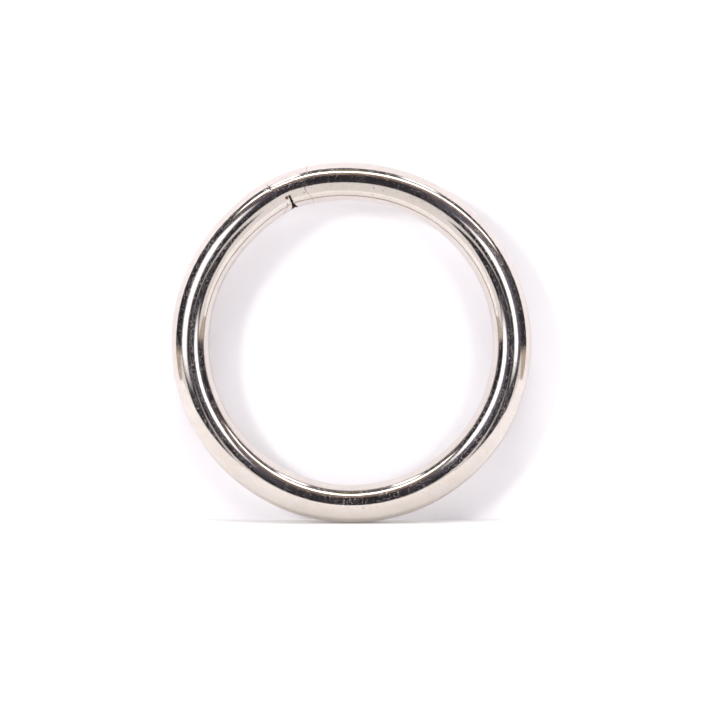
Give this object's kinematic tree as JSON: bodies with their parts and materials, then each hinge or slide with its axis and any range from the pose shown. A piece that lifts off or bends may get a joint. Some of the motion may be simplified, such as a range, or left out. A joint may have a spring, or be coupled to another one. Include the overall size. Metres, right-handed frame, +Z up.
{
  "type": "split key ring",
  "caption": "Key ring bent from one round wire to a single turn, with butted ends that twist apart sideways to let a key on.",
  "frame": {"origin": "centre of the ring, on its axis, half way through the wire", "axes": "+Y along the ring's axis, away from the viewer; +Z up with the ring standing on its edge; +X to the viewer's right. Angles round the ring run from +X towards +Z; the split is at 112.5 degrees and the heel at 292.5 degrees."},
  "size_m": [0.0322, 0.0034, 0.0323],
  "materials": {
    "nickel_plate": "bright nickel plating on round steel wire, polished, with fine pits"
  },
  "bodies": {
    "left_arm": {"left_arm": "nickel_plate"},
    "right_arm": {"right_arm": "nickel_plate"}
  },
  "joints": [
    {"name": "split_twist", "type": "hinge", "parent": "left_arm", "child": "right_arm", "pos_m": [0.00551, 0, -0.0133], "axis": [0.9239, 0, 0.3827], "range_deg": [-12, 12], "stiffness_Nm_per_rad": 24.7}
  ]
}
